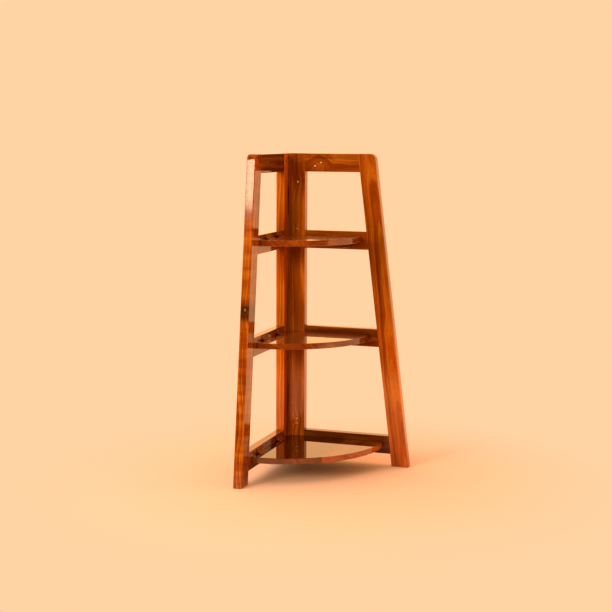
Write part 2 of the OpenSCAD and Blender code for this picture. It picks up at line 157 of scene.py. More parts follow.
class Tree:
    """Adds nodes to the node tree of one material or world."""

    seed_shares: Triple = (1.0, 1.7, 2.3)

    def __init__(self, nodes: bpy.types.NodeTree) -> None:
        """Empties the tree."""
        self.nodes = nodes
        nodes.nodes.clear()

    @classmethod
    def of_material(cls, name: str) -> tuple[bpy.types.Material, "Tree"]:
        """A new material under a name, and its tree."""
        material = bpy.data.materials.new(name)
        material.use_nodes = True
        return material, cls(material.node_tree)

    def add(self, kind: str, settings: dict | None = None, inputs: dict | None = None,
            output: str | int = 0) -> Signal:
        """Adds one node.

        Args:
            kind: The node's type.
            settings: Its own settings, set first. The key stops holds a ramp's (place, colour) pairs.
            inputs: A value or a Signal for each socket, by its name, or by its number where names repeat.
            output: Name or number of the output that is wanted.

        Returns:
            The wanted output.
        """
        node = self.nodes.nodes.new(kind)
        for name, value in (settings or {}).items():
            if name == "stops":
                self._set_stops(node.color_ramp, value)
            else:
                setattr(node, name, value)
        for name, value in (inputs or {}).items():
            if isinstance(value, Signal):
                self.nodes.links.new(value.socket, node.inputs[name])
            else:
                node.inputs[name].default_value = value
        outputs = node.outputs
        return Signal(self, outputs[output]) if len(outputs) else Signal(self, None)

    @staticmethod
    def _set_stops(ramp: bpy.types.ColorRamp, stops: list[tuple[float, Colour]]) -> None:
        """Gives a colour ramp its stops."""
        while len(ramp.elements) < len(stops):
            ramp.elements.new(1.0)
        for element, (place, colour) in zip(ramp.elements, stops):
            element.position = place
            element.color = (*colour, 1.0)

    def noise(self, where: Signal, detail: float = 2.0, roughness: float = 0.5) -> Signal:
        """Smooth noise around 0.5 in three dimensions, with one bump for each unit of length."""
        inputs = {"Vector": where, "Scale": 1.0, "Detail": detail, "Roughness": roughness}
        return self.add("ShaderNodeTexNoise", {"noise_dimensions": "3D"}, inputs)

    def noise_line(self, where: Signal, detail: float = 2.0, roughness: float = 0.5) -> Signal:
        """Smooth noise around 0.5 along one number."""
        inputs = {"W": where, "Scale": 1.0, "Detail": detail, "Roughness": roughness}
        return self.add("ShaderNodeTexNoise", {"noise_dimensions": "1D"}, inputs)

    def stretch(self, where: Signal, scale: Triple, seed: float) -> Signal:
        """Scales coordinates along their three axes, and moves them by a seed."""
        away = tuple(seed * share for share in self.seed_shares)
        inputs = {"Vector": where, "Scale": scale, "Location": away}
        return self.add("ShaderNodeMapping", {"vector_type": "POINT"}, inputs)

    def speckle(self, where: Signal, kind: "Speckle", seed: float = 0.0) -> Signal:
        """One of a finish's noises at a place, moved by the piece's seed."""
        return self.noise(self.stretch(where, kind.scale, seed + kind.shift), kind.detail, kind.roughness)

    def mix(self, share: Signal | float, first: Signal | Colour, second: Signal | Colour,
            blend: str = "MIX") -> Signal:
        """Mixes two colours.

        Args:
            share: Share of the second, from 0 to 1.
            first: Colour where the share is 0.
            second: Colour that is mixed in.
            blend: How it is mixed in.

        Returns:
            The mixed colour.
        """
        first, second = (c if isinstance(c, Signal) else (*c, 1.0) for c in (first, second))
        settings = {"data_type": "RGBA", "blend_type": blend}
        return self.add("ShaderNodeMix", settings, {0: share, 6: first, 7: second}, output=2)

    def finish(self, shader: Signal, output: str = "ShaderNodeOutputMaterial") -> None:
        """Links a shader to the tree's output."""
        self.add(output, inputs={"Surface": shader})


@dataclass(frozen=True)
class Beam:
    """A straight piece of timber: its middle, its directions and its sawn size.

    Attributes:
        middle: Its middle, in the frame.
        along: Direction of its length and its grain.
        across: Direction of its width.
        size: Its length, width and thickness.
    """

    middle: Vector
    along: Vector
    across: Vector
    size: Vector

    @property
    def turn(self) -> Matrix:
        """Turns the beam's own axes into the frame's."""
        through = self.along.cross(self.across)
        return Matrix((self.along, self.across, through)).transposed()

    @property
    def matrix(self) -> Matrix:
        """Carries the beam's own axes to its place."""
        return Matrix.Translation(self.middle) @ self.turn.to_4x4()

    @classmethod
    def from_box(cls, node: str, along: Vector, across: Vector) -> "Beam":
        """The beam that fills a CAD node's box.

        Args:
            node: The node's name.
            along: Direction of its length, along one of the frame's axes.
            across: Direction of its width, along another.

        Returns:
            The beam.
        """
        low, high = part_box(node)
        extent = high - low
        through = along.cross(across)
        size = Vector([abs(extent.dot(axis)) for axis in (along, across, through)])
        return cls((low + high) / 2, along, across, size)


@dataclass(frozen=True)
class Knot:
    """A small knot in a face, placed from the middle of its piece.

    Attributes:
        along: Its place along the grain.
        across: Its place across its face.
        radius: Radius of its dark eye, which holds a painted pale glint on faces turned towards the front.
        edge: Whether it shows on the piece's edges, and not on its wide faces.
    """

    along: float
    across: float
    radius: float = 0.006
    edge: bool = False


@dataclass(frozen=True)
class Figure:
    """How one piece was cut from the tree, and what that shows on its faces.

    Attributes:
        seed: Shifts the noise, so that no two pieces are alike.
        pith_across: Place of the tree's pith across the piece.
        pith_depth: Depth of the pith behind the piece's middle.
        tilt: Slope of the pith along the piece, which draws arches on its face.
        tone: Brightness of the piece against the others.
        face: Painted shade or light on its two wide faces: their brightness against its edges.
        run: Brightness along the piece, as places from its foot (0) to its head (1) with their values.
        contrast: Contrast of its rings.
        streaks: Strength of its dark streaks.
        curl: Strength of the ripples across its grain.
        end: How dark its end grain shows.
        knots: Its knots.
    """

    seed: float
    pith_across: float = 0.0
    pith_depth: float = 0.05
    tilt: float = 0.0
    tone: float = 1.0
    face: float = 1.0
    run: tuple[tuple[float, float], ...] = ((0.0, 1.0), (1.0, 1.0))
    contrast: float = 1.0
    streaks: float = 0.7
    curl: float = 0.0
    end: float = 1.0
    knots: tuple[Knot, ...] = ()


@dataclass(frozen=True)
class Speckle:
    """One of the noises that draw a finish.

    Attributes:
        scale: Bumps for each metre along, across and through the grain.
        detail: Number of its finer layers.
        roughness: Strength of each finer layer against the last.
        shift: Added to the piece's seed, so that no two noises are alike.
    """

    scale: Triple
    detail: float
    roughness: float = 0.5
    shift: float = 0.0


@dataclass(frozen=True)
class Grain:
    """What the wood's grain is drawn with. A fade gives where something starts to show and shows fully.

    Attributes:
        slow, bend: Wander of the rings sideways and in depth.
        fibre, cloud: The fine fibre, and broad clouds of tone.
        ripple, vein, pore: Ripples across the grain, dark streaks and pores.
        swelling: How far a knot pushes the rings aside, in metres.
        swirl_reach: Reach of that, in radii of the knot.
        knot_length: Length of a knot against its width.
        band_layers, line_layers: Detail and roughness of the rings and of the fine lines between them.
        lines: Fine lines for each ring.
        band_share, line_share, fibre_share, cloud_share: Share of each in the tone.
        tones: Tones at which the dark, middle and light colours show.
        vein_fade, pore_fade: Fades of the streaks and pores.
        pore_depth, eye_depth: Darkness of the pores and of a knot's eye.
        eye_fade, heart_fade: Fades of a knot's eye and of the painted glint at its middle.
        heart_turn: Fade of the faces, turned towards the front, that show the painted glint.
        rub_fade, rub: Fade of the patches that are rubbed along the edges, and how pale they are.
        end_fade, end_depth: Fade of the end grain over slanting faces, and its darkness.
        face_fade: Fade of the wide faces, which take the painted shade or light of a figure's face.
    """

    slow: Speckle = Speckle((2.6, 9.0, 9.0), 2.0)
    bend: Speckle = Speckle((5.5, 14.0, 14.0), 3.0, shift=9.0)
    fibre: Speckle = Speckle((14.0, 420.0, 420.0), 3.0, 0.6)
    cloud: Speckle = Speckle((6.0, 22.0, 22.0), 2.0, shift=4.0)
    ripple: Speckle = Speckle((75.0, 16.0, 16.0), 1.0, shift=2.0)
    vein: Speckle = Speckle((1.6, 46.0, 46.0), 3.0, 0.55, shift=6.0)
    pore: Speckle = Speckle((110.0, 1500.0, 1500.0), 1.0)
    swelling: float = 0.006
    swirl_reach: float = 5.0
    knot_length: float = 1.5
    band_layers: Pair = (2.5, 0.62)
    line_layers: Pair = (2.0, 0.6)
    lines: float = 4.1
    band_share: float = 0.95
    line_share: float = 0.35
    fibre_share: float = 0.22
    cloud_share: float = 0.55
    tones: Triple = (0.18, 0.5, 0.82)
    vein_fade: Pair = (0.53, 0.66)
    pore_fade: Pair = (0.63, 0.74)
    pore_depth: float = 0.45
    eye_depth: float = 0.8
    eye_fade: Pair = (0.0, 0.6)
    heart_fade: Pair = (0.55, 0.8)
    heart_turn: Pair = (0.2, 0.5)
    rub_fade: Pair = (0.35, 0.65)
    rub: float = 0.35
    end_fade: Pair = (0.45, 0.95)
    end_depth: float = 0.7
    face_fade: Pair = (0.6, 1.0)


@dataclass(frozen=True)
class WoodFinish:
    """Reddish-brown hardwood under clear lacquer.

    Attributes:
        dark, middle, light: Colours of the wood from its dark rings to its light ones.
        streak: Colour of the dark streaks.
        worn: Colour of the rubbed edges.
        resin: Colour of the painted glint at the middle of a small knot.
        end_grain: Colour where the wood is cut across its grain.
        rings: Rings in a metre.
        wander: How far the rings wander, in metres.
        edge: Width of the rubbed band along the edges.
        relief: Height of the pores and fibre, in metres.
        relief_strength: Strength of that relief.
        fibre_height, tone_depth: How high the fibre and how deep the light tones stand in it.
        roughness: Roughness of the wood under the lacquer.
        tone_gloss, worn_matt: How much smoother light tones are, and how much rougher worn wood.
        end_dry: How much lacquer the end grain lacks.
        haze: Strength of the blurred gloss under the lacquer.
        lacquer_roughness: Roughness of the lacquer.
        lacquer_ior: Its index of refraction.
        grain: What its grain is drawn with.
    """

    dark: Colour = (0.095, 0.012, 0.0006)
    middle: Colour = (0.285, 0.052, 0.0016)
    light: Colour = (0.540, 0.168, 0.0090)
    streak: Colour = (0.026, 0.004, 0.0006)
    worn: Colour = (0.600, 0.200, 0.0300)
    resin: Colour = (0.750, 0.380, 0.2000)
    end_grain: Colour = (0.090, 0.026, 0.0030)
    rings: float = 150.0
    wander: float = 0.022
    edge: float = 0.0035
    relief: float = 0.0004
    relief_strength: float = 0.22
    fibre_height: float = 0.5
    tone_depth: float = 0.25
    roughness: float = 0.34
    tone_gloss: float = 0.12
    worn_matt: float = 0.2
    end_dry: float = 0.5
    haze: float = 0.0
    lacquer_roughness: float = 0.08
    lacquer_ior: float = 1.38
    grain: Grain = Grain()

    def material(self, name: str, beam: Beam, figure: Figure) -> bpy.types.Material:
        """Makes the wood of one piece.

        Args:
            name: The material's name.
            beam: The piece, whose own axes the grain follows.
            figure: How the piece was cut.

        Returns:
            The material.
        """
        material, tree = Tree.of_material(name)
        inputs = {
            "Vector": tree.add("ShaderNodeTexCoord", output="Object"),
            "Location": beam.middle,
            "Rotation": beam.turn.to_euler(),
        }
        place = tree.add("ShaderNodeMapping", {"vector_type": "TEXTURE"}, inputs)
        along = tree.add("ShaderNodeSeparateXYZ", inputs={"Vector": place})
        across, through = along.output("Y"), along.output("Z")
        grain, seed = self.grain, figure.seed
        eye, swirl = self._knots(figure, along, across, through)
        fibre = tree.speckle(place, grain.fibre, seed)
        cloud = tree.speckle(place, grain.cloud, seed)
        pore = tree.speckle(place, grain.pore, seed).fade(*grain.pore_fade) * grain.pore_depth
        corner = (beam.size.y / 2 - abs(across)) + (beam.size.z / 2 - abs(through))
        rubbed = corner.fade(self.edge, 0.0) * cloud.fade(*grain.rub_fade) * grain.rub
        end = self._facing(tree, beam.along).fade(*grain.end_fade) * figure.end

        shade = self._rings(tree, figure, place, swirl) * figure.contrast
        shade = shade + (fibre - MID) * grain.fibre_share + (cloud - MID) * grain.cloud_share + MID
        if figure.curl:
            shade = shade + (tree.speckle(place, grain.ripple, seed) - MID) * figure.curl
        stops = list(zip(grain.tones, (self.dark, self.middle, self.light)))
        colour = tree.add("ShaderNodeValToRGB", {"stops": stops}, {"Fac": shade})
        vein = tree.speckle(place, grain.vein, seed).fade(*grain.vein_fade) * figure.streaks
        colour = tree.mix(vein, colour, self.streak)
        colour = tree.mix(pore, colour, self.streak)
        if eye:
            colour = tree.mix(eye.fade(*grain.eye_fade) * grain.eye_depth, colour, self.streak)
            # Painted glint: a pale dot at the middle of each knot, shown only on faces turned towards the
            # front.
            painted_glint = eye.fade(*grain.heart_fade) * self._turned(tree, INWARD).fade(*grain.heart_turn)
            colour = tree.mix(painted_glint, colour, self.resin)
        colour = tree.mix(rubbed, colour, self.worn)
        colour = tree.mix(end * grain.end_depth, colour, self.end_grain)
        stops = [(step, (value * figure.tone,) * 3) for step, value in figure.run]
        run = tree.add("ShaderNodeValToRGB", {"stops": stops}, {"Fac": along / beam.size.x + MID})
        colour = tree.mix(1.0, colour, run, "MULTIPLY")
        # Painted shade or light: the figure's face makes the wide faces darker or lighter than the edges.
        if figure.face != 1.0:
            flat = self._facing(tree, beam.along.cross(beam.across)).fade(*grain.face_fade)
            colour = tree.mix(flat, colour, tree.mix(1.0, colour, (figure.face,) * 3, "MULTIPLY"))

        tree.finish(tree.add("ShaderNodeBsdfPrincipled", None, {
            "Base Color": colour,
            "Roughness": self.roughness + (MID - shade) * self.tone_gloss + (rubbed + end) * self.worn_matt,
            "Normal": tree.add("ShaderNodeBump", None, {
                "Height": fibre * self.fibre_height - pore - shade * self.tone_depth,
                "Strength": self.relief_strength,
                "Distance": self.relief,
            }),
            "Coat Weight": 1.0 - end * self.end_dry,
            "Coat Roughness": self.lacquer_roughness,
            "Coat IOR": self.lacquer_ior,
            "Specular IOR Level": self.haze,
        }))
        return material

    def _rings(self, tree: Tree, figure: Figure, place: Signal, swirl: Signal | None) -> Signal:
        """The tone of the rings around 0.

        Args:
            tree: The material's nodes.
            figure: How the piece was cut.
            place: Place in the piece's own axes.
            swirl: The swelling of the rings around the knots, if there are any.

        Returns:
            The tone.
        """
        grain, seed = self.grain, figure.seed
        along = tree.add("ShaderNodeSeparateXYZ", inputs={"Vector": place})
        slow = tree.speckle(place, grain.slow, seed) - MID
        bend = tree.speckle(place, grain.bend, seed) - MID
        side = along.output("Y") - figure.pith_across + slow * (2.0 * self.wander)
        depth = along.output("Z") + along * figure.tilt + (figure.pith_depth + bend * self.wander)
        radius = (side * side + depth * depth) ** 0.5
        if swirl:
            radius = radius + swirl * grain.swelling
        ring = radius * self.rings + seed
        bands = tree.noise_line(ring, *grain.band_layers) - MID
        lines = tree.noise_line(ring * grain.lines, *grain.line_layers) - MID
        return bands * grain.band_share + lines * grain.line_share

    @staticmethod
    def _turned(tree: Tree, way: Vector) -> Signal:
        """How far the surface is turned towards a direction, from -1 to 1."""
        inputs = {0: tree.add("ShaderNodeTexCoord", output="Normal"), 1: way}
        return tree.add("ShaderNodeVectorMath", {"operation": "DOT_PRODUCT"}, inputs, "Value")

    @classmethod
    def _facing(cls, tree: Tree, way: Vector) -> Signal:
        """How squarely the surface faces along a direction, either way, from 0 to 1."""
        return abs(cls._turned(tree, way))

    def _knots(self, figure: Figure, along: Signal, across: Signal,
               through: Signal) -> tuple[Signal | None, Signal | None]:
        """Draws the knots of a piece.

        Args:
            figure: How the piece was cut.
            along, across, through: Place in the piece's own axes.

        Returns:
            The knots' eyes, from 0 at the rim to 1 in the middle, where the painted glint sits, and the
            swelling of the rings around them.
        """
        eye = swirl = None
        for knot in figure.knots:
            step = (along - knot.along) / self.grain.knot_length
            shift = (through if knot.edge else across) - knot.across
            away = (step * step + shift * shift) ** 0.5
            one_eye = away.fade(knot.radius, 0.0)
            one_swirl = away.fade(self.grain.swirl_reach * knot.radius, 0.0)
            eye = eye.most(one_eye) if eye else one_eye
            swirl = swirl + one_swirl if swirl else one_swirl
        return eye, swirl


@dataclass(frozen=True)
class MetalFinish:
    """Bare or plated metal with fine scratches and a little tarnish.

    Attributes:
        bright: Colour of the clean metal.
        dull: Colour of the tarnish.
        roughness: Roughness of the clean metal.
        scratch, patch: The fine scratches and the patches of tarnish.
        tarnish_fade: Where the tarnish starts to show and shows fully.
        tarnish_share: How much of the clean colour the tarnish hides.
        scratch_matt, tarnish_matt: How much rougher scratches and tarnish are.
        relief: Height of the scratches, in metres.
        relief_strength: Strength of that relief.
    """

    bright: Colour
    dull: Colour
    roughness: float
    scratch: Speckle = Speckle((900.0, 900.0, 60.0), 3.0, 0.7, shift=3.0)
    patch: Speckle = Speckle((130.0, 130.0, 130.0), 3.0, 0.6, shift=5.0)
    tarnish_fade: Pair = (0.48, 0.72)
    tarnish_share: float = 0.7
    scratch_matt: float = 0.12
    tarnish_matt: float = 0.2
    relief: float = 0.0001
    relief_strength: float = 0.25

    def material(self, name: str) -> bpy.types.Material:
        """Makes the metal under a name."""
        material, tree = Tree.of_material(name)
        place = tree.add("ShaderNodeTexCoord", output="Object")
        scratches = tree.speckle(place, self.scratch)
        tarnish = tree.speckle(place, self.patch).fade(*self.tarnish_fade)
        tree.finish(tree.add("ShaderNodeBsdfPrincipled", None, {
            "Base Color": tree.mix(tarnish * self.tarnish_share, self.bright, self.dull),
            "Metallic": 1.0,
            "Roughness": self.roughness + scratches * self.scratch_matt + tarnish * self.tarnish_matt,
            "Normal": tree.add("ShaderNodeBump", None, {
                "Height": scratches, "Strength": self.relief_strength, "Distance": self.relief}),
        }))
        return material


class Bench:
    """The steps by which each piece of timber is shaped, as bmesh operations."""

    @staticmethod
    def saw(beam: Beam, extra: float = 0.0) -> bmesh.types.BMesh:
        """A squared bar at the beam's place, longer by an extra length at both ends."""
        work = bmesh.new()
        bmesh.ops.create_cube(work, size=1.0)
        bmesh.ops.scale(work, vec=beam.size + Vector((2 * extra, 0.0, 0.0)), verts=work.verts)
        bmesh.ops.transform(work, matrix=beam.matrix, verts=work.verts)
        return work

    @staticmethod
    def cut(work: bmesh.types.BMesh, point: Vector, normal: Vector) -> None:
        """Cuts off what lies beyond a plane, and closes the cut.

        Args:
            work: The piece.
            point: A point of the plane.
            normal: The plane's direction, towards the waste.
        """
        everything = work.verts[:] + work.edges[:] + work.faces[:]
        bmesh.ops.bisect_plane(work, geom=everything, dist=TOUCH, plane_co=point, plane_no=normal,
                               clear_outer=True)
        rim = [edge for edge in work.edges if edge.is_boundary]
        bmesh.ops.holes_fill(work, edges=rim, sides=0)

    @staticmethod
    def sharp_edges(work: bmesh.types.BMesh) -> list:
        """The edges at which two faces turn sharply."""
        return [edge for edge in work.edges if edge.is_manifold and edge.calc_face_angle() > SHARP]

    @staticmethod
    def round_over(work: bmesh.types.BMesh, edges: list, amount: float, segments: int) -> None:
        """Rounds edges over.

        Args:
            work: The piece.
            edges: The edges.
            amount: Distance from each edge to where its rounding starts.
            segments: Number of strips in the rounding.
        """
        bmesh.ops.bevel(work, geom=edges, offset=amount, offset_type="OFFSET", segments=segments,
                        profile=0.5, affect="EDGES", clamp_overlap=True, material=-1)

    @staticmethod
    def lay_down(work: bmesh.types.BMesh, name: str, material: bpy.types.Material) -> bpy.types.Object:
        """Ends the work on a piece and makes it an object.

        Args:
            work: The piece, which is freed.
            name: The object's name.
            material: Its material.

        Returns:
            The object, with smooth roundings and flat faces.
        """
        bmesh.ops.recalc_face_normals(work, faces=work.faces)
        mesh = bpy.data.meshes.new(name)
        work.to_mesh(mesh)
        work.free()
        mesh.shade_smooth()
        mesh.set_sharp_from_angle(angle=SHARP)
        mesh.materials.append(material)
        piece = place_object(name, mesh)
        flat = piece.modifiers.new("flat_faces", "WEIGHTED_NORMAL")
        flat.keep_sharp = True
        return piece


@dataclass
class LadderFrame:
    """One ladder frame: a post, a sloping leg and the rails between them.

    Attributes:
        side: Which frame it is.
        finish: Its wood.
        figures: The cut of each piece, by its name without the side.
        slope: Slope of the leg from upright.
        arris: Rounding of the edges.
        arris_segments: Strips in it.
        leg_top_radius: Radius of the rounded outer corner at the top of the leg.
        leg_top_segments: Strips in it.
        slot: Not used.
    """

    side: Side
    finish: WoodFinish
    figures: dict[str, Figure]
    slope: float = math.radians(7)
    arris: float = 0.0014
    arris_segments: int = 4
    leg_top_radius: float = 0.014
    leg_top_segments: int = 12
    slot: str = "frame_wood"

    def __post_init__(self) -> None:
        """Works out the frame's directions."""
        self.outward = Vector(self.side.value)
        self.body = f"{self.side.word}_frame"

    def node(self, piece: str) -> str:
        """Name of one of the frame's CAD nodes."""
        return f"{self.side.word}_{piece}"

    def post_beam(self) -> Beam:
        """The post."""
        return Beam.from_box(self.node("post"), UP, self.outward)

    def leg_beam(self) -> Beam:
        """The leg, square to its slope. Its box is as wide as its run and its level width together."""
        box = Beam.from_box(self.node("leg"), UP, self.outward)
        height, spread, thickness = box.size
        level_width = spread - height * math.tan(self.slope)
        width = level_width * math.cos(self.slope)
        lean = Matrix.Rotation(self.slope, 3, self.outward.cross(UP))
        size = Vector((height / math.cos(self.slope), width, thickness))
        return Beam(box.middle, lean @ UP, lean @ self.outward, size)

    def rail_beam(self, level: Level) -> Beam:
        """A rail, from the post to the middle of the leg."""
        box = Beam.from_box(self.node(f"{level.value}_rail"), self.outward, UP)
        post, leg = self.post_beam(), self.leg_beam()
        start = post.middle.dot(self.outward) + post.size.y / 2
        climb = (box.middle.z - leg.middle.z) / leg.along.z
        end = (leg.middle + leg.along * climb).dot(self.outward)
        middle = box.middle + self.outward * ((start + end) / 2 - box.middle.dot(self.outward))
        return Beam(middle, self.outward, UP, Vector((end - start, box.size.y, box.size.z)))

    def shape_post(self, beam: Beam) -> bmesh.types.BMesh:
        """The post, with all its edges rounded."""
        work = Bench.saw(beam)
        Bench.round_over(work, work.edges[:], self.arris, self.arris_segments)
        return work

    def shape_leg(self, beam: Beam) -> bmesh.types.BMesh:
        """The leg, cut level at the floor and the top, with its outer top corner rounded."""
        low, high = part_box(self.node("leg"))
        work = Bench.saw(beam, extra=beam.size.y)
        Bench.cut(work, low, -UP)
        Bench.cut(work, high, UP)
        corner = max(work.edges, key=lambda edge: self._corner_rank(edge, high.z))
        half_angle = (math.pi / 2 + self.slope) / 2
        amount = self.leg_top_radius / math.tan(half_angle)
        Bench.round_over(work, [corner], amount, self.leg_top_segments)
        Bench.round_over(work, Bench.sharp_edges(work), self.arris, self.arris_segments)
        return work

    def _corner_rank(self, edge: bmesh.types.BMEdge, top: float) -> float:
        """How far out an edge along the top of the leg lies, or little if it isn't there."""
        first, second = (vert.co for vert in edge.verts)
        middle = (first + second) / 2
        return middle.dot(self.outward) if abs(middle.z - top) < NEAR else -1.0

    def shape_rail(self, beam: Beam) -> bmesh.types.BMesh:
        """A rail between its two shoulders, with its long edges rounded."""
        leg = self.leg_beam()
        work = Bench.saw(beam)
        Bench.cut(work, leg.middle - leg.across * leg.size.y / 2, leg.across)
        ends = [face for face in work.faces
                if max(abs(face.normal.dot(self.outward)), abs(face.normal.dot(leg.across))) > ALIGNED]
        long_edges = [edge for edge in Bench.sharp_edges(work) if not set(edge.link_faces) & set(ends)]
        Bench.round_over(work, long_edges, self.arris, self.arris_segments)
        return work

    def make(self, piece: str, beam: Beam, work: bmesh.types.BMesh) -> bpy.types.Object:
        """Dresses a shaped piece and seats it on the frame's body.

        Args:
            piece: The piece's name without the side.
            beam: Its beam.
            work: Its shape.

        Returns:
            The piece.
        """
        node = self.node(piece)
        material = self.finish.material(f"{node}_wood", beam, self.figures[piece])
        made = Bench.lay_down(work, f"{node}_stick", material)
        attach(made, self.body)
        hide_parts(node)
        return made

    def build(self) -> list[bpy.types.Object]:
        """Makes the post, the leg and the four rails."""
        post, leg = self.post_beam(), self.leg_beam()
        pieces = [self.make("post", post, self.shape_post(post)), self.make("leg", leg, self.shape_leg(leg))]
        for level in Level:
            rail = self.rail_beam(level)
            pieces.append(self.make(f"{level.value}_rail", rail, self.shape_rail(rail)))
        return pieces


@dataclass
class CornerShelf:
    """A quarter-round shelf of two glued boards, and the rest under its right side.

    Attributes:
        level: Its level.
        finish: Its wood.
        rest_finish: The wood of the rest.
        figures: The cut of the inner board, the outer board and the rest.
        corner_radius: Radius of its rounded rear corner.
        nose: Rounding of its front edge.
        nose_segments: Strips in it.
        side_round: Rounding of its other edges.
        side_segments: Strips in it.
        rim_segments: Sides of the whole circle that the shelf is a quarter of.
        corner_segments: Strips in the rear corner.
        figure_width: Width of the tree's plank around a board, so wide that no edge of the board is rubbed.
        slot, rest_slot: Not used.
    """

    level: Level
    finish: WoodFinish
    rest_finish: WoodFinish
    figures: dict[str, Figure]
    corner_radius: float = 0.032
    nose: float = 0.0014
    nose_segments: int = 5
    side_round: float = 0.0018
    side_segments: int = 3
    rim_segments: int = 288
    corner_segments: int = 16
    figure_width: float = 2.0
    slot: str = "shelf_wood"
    rest_slot: str = "rest_wood"

    def __post_init__(self) -> None:
        """Reads the shelf's place from its two boards: the straight sides, the radius and the seam."""
        word = self.level.value
        self.body = f"{word}_shelf"
        inner_low, inner_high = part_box(f"{word}_shelf_inner_board")
        outer_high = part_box(f"{word}_shelf_outer_board")[1]
        self.low, self.high = inner_low, Vector((outer_high.x, inner_high.y, inner_high.z))
        self.seam = inner_high.x
        left_post, right_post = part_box("left_post"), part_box("right_post")
        self.centre = Vector((left_post[1].x, right_post[0].y, inner_low.z))
        self.radius = outer_high.x - self.centre.x

    def slab(self) -> bmesh.types.BMesh:
        """The whole shelf, with its rear corner rounded and sharp edges."""
        work = bmesh.new()
        bmesh.ops.create_circle(work, cap_ends=True, segments=self.rim_segments, radius=self.radius,
                                matrix=Matrix.Translation(self.centre))
        for point, waste in ((self.low, (-1, 0, 0)), (self.high, (0, 1, 0))):
            everything = work.verts[:] + work.edges[:] + work.faces[:]
            bmesh.ops.bisect_plane(work, geom=everything, plane_co=point, plane_no=waste, clear_outer=True)
        raised = bmesh.ops.extrude_face_region(work, geom=work.faces[:])["geom"]
        lifted = [part for part in raised if isinstance(part, bmesh.types.BMVert)]
        bmesh.ops.translate(work, vec=(0, 0, self.high.z - self.low.z), verts=lifted)
        bmesh.ops.recalc_face_normals(work, faces=work.faces)
        corner = min(self._upright_edges(work), key=lambda edge: edge.verts[0].co.x - edge.verts[0].co.y)
        Bench.round_over(work, [corner], self.corner_radius, self.corner_segments)
        return work

    @staticmethod
    def _upright_edges(work: bmesh.types.BMesh) -> list:
        """The edges that stand upright."""
        return [e for e in work.edges if abs((e.verts[0].co - e.verts[1].co).normalized().z) > ALIGNED]

    def shape_board(self, outwards: float) -> bmesh.types.BMesh:
        """One board of the shelf.

        Args:
            outwards: 1 for the inner board, whose waste lies beyond the seam along +X, or -1 for the outer.

        Returns:
            The board's shape.
        """
        work = self.slab()
        Bench.cut(work, Vector((self.seam, 0, 0)), Vector((outwards, 0, 0)))
        rim, side = [], []
        for edge in Bench.sharp_edges(work):
            first, second = (vert.co for vert in edge.verts)
            if max(abs(first.x - self.seam), abs(second.x - self.seam)) < TOUCH:
                continue
            if min(self._reach(first), self._reach(second)) > self.radius - NEAR:
                rim.append(edge)
            elif abs(first.z - second.z) < TOUCH:
                side.append(edge)
        Bench.round_over(work, rim, self.nose, self.nose_segments)
        Bench.round_over(work, self._alive(side), self.side_round, self.side_segments)
        return work

    def _reach(self, point: Vector) -> float:
        """Level distance of a point from the inner corner."""
        return (point - self.centre).to_2d().length

    @staticmethod
    def _alive(edges: list) -> list:
        """The edges that are still there."""
        return [edge for edge in edges if edge.is_valid]

    def board(self, piece: str, outwards: float) -> bpy.types.Object:
        """Makes one board and seats it on the shelf's body."""
        node = f"{self.level.value}_shelf_{piece}"
        low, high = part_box(node)
        beam = Beam((low + high) / 2, Vector((0, 1, 0)), Vector((-1, 0, 0)),
                    Vector((self.figure_width, self.figure_width, high.z - low.z)))
        material = self.finish.material(f"{node}_wood", beam, self.figures[piece])
        made = Bench.lay_down(self.shape_board(outwards), f"{node}_plank", material)
        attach(made, self.body)
        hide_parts(node)
        return made

    def rest(self) -> bpy.types.Object:
        """Makes the rest and seats it on the right frame."""
        node = f"{self.level.value}_shelf_rest"
        beam = Beam.from_box(node, Vector((1, 0, 0)), UP)
        work = Bench.saw(beam)
        Bench.round_over(work, work.edges[:], self.side_round, self.side_segments)
        material = self.rest_finish.material(f"{node}_wood", beam, self.figures["rest"])
        made = Bench.lay_down(work, f"{node}_block", material)
        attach(made, "right_frame")
        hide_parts(node)
        return made

    def build(self) -> list[bpy.types.Object]:
        """Makes the two boards and the rest."""
        return [self.board("inner_board", 1.0), self.board("outer_board", -1.0), self.rest()]


@dataclass
class Ironmongery:
    """The hinges, pins and screws, which keep their solids.

    Attributes:
        brass: Finish of the hinge leaves.
        pin_steel: Finish of the pins.
        screw_steel: Finish of the screws.
    """

    brass: MetalFinish
    pin_steel: MetalFinish
    screw_steel: MetalFinish

    def build(self, nodes: dict[str, bpy.types.Object]) -> list[bpy.types.Object]:
        """Dresses every metal node and returns the nodes dressed."""
        leaf_metal = self.brass.material("hinge_brass")
        pin_metal = self.pin_steel.material("pin_steel")
        screw_metal = self.screw_steel.material("screw_steel")
        dressed = []
        for name, node in sorted(nodes.items()):
            if name.endswith("_leaf"):
                metal = leaf_metal
            elif name.endswith("_pin"):
                metal = pin_metal
            elif name.endswith("_screws"):
                metal = screw_metal
            else:
                continue
            node.data.materials.clear()
            node.data.materials.append(metal)
            dressed.append(node)
        return dressed


@dataclass(frozen=True)
class Softbox:
    """A soft box that hangs before the shelf.

    Attributes:
        name: Its name.
        bearing: Its bearing to the left of the front.
        height: Height of its middle.
        size: Its width and height.
        power: Its power in watts.
        colour: Colour of its light.
        mirrored: Whether the lacquer mirrors it.
        distance: Its level distance from the shelf's upright axis.
    """

    name: str
    bearing: float
    height: float
    size: Pair
    power: float
    colour: Colour
    mirrored: bool = False
    distance: float = 4.0


